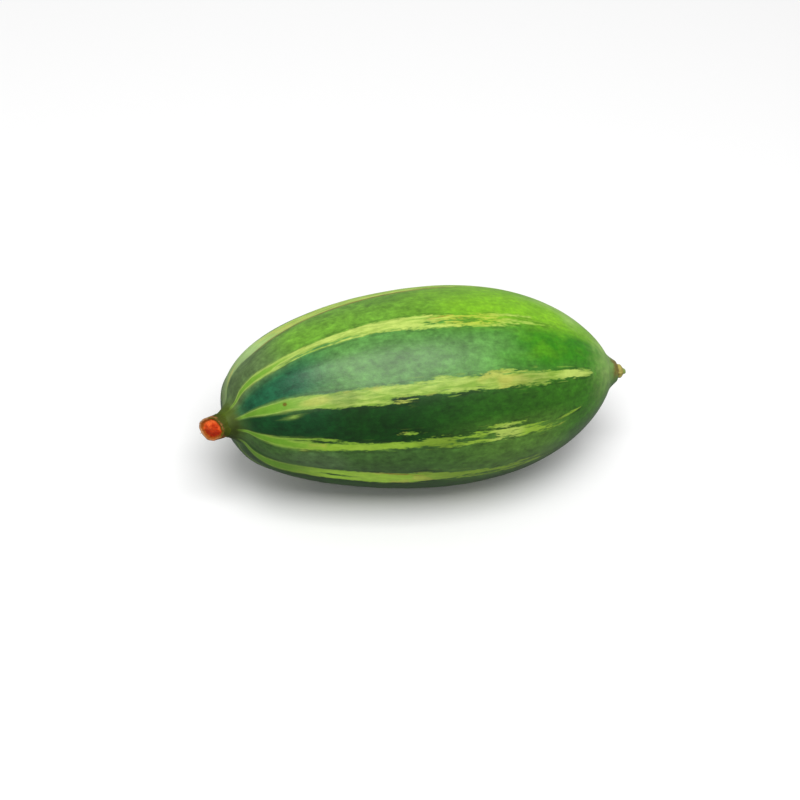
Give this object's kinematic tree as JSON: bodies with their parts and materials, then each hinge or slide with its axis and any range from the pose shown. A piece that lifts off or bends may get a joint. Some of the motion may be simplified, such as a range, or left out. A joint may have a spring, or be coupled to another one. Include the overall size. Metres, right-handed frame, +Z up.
{
  "type": "pointed gourd",
  "caption": "Plump striped pointed gourd on its side, with a short cut stem stub and a dried flower remnant at its tip.",
  "frame": {"origin": "on the surface that the gourd lies on, under the middle of its overall length and width", "axes": "+X along the fruit from the cut stem to the blossom end, +Z up, -Y the side that the stem end curves to"},
  "size_m": [0.088, 0.0402, 0.0396],
  "materials": {
    "gourd_skin": "satin waxy skin, dark green with lengthwise ragged pale yellow-green stripes",
    "cut_stem": "dry fibrous cut stem, orange-red with a pale tan rim, olive at its foot",
    "dried_flower": "matte, dry, tan and brown"
  },
  "bodies": {
    "root": {"fruit": "gourd_skin", "stem_stub": "cut_stem", "blossom_remnant": "dried_flower"}
  },
  "joints": []
}
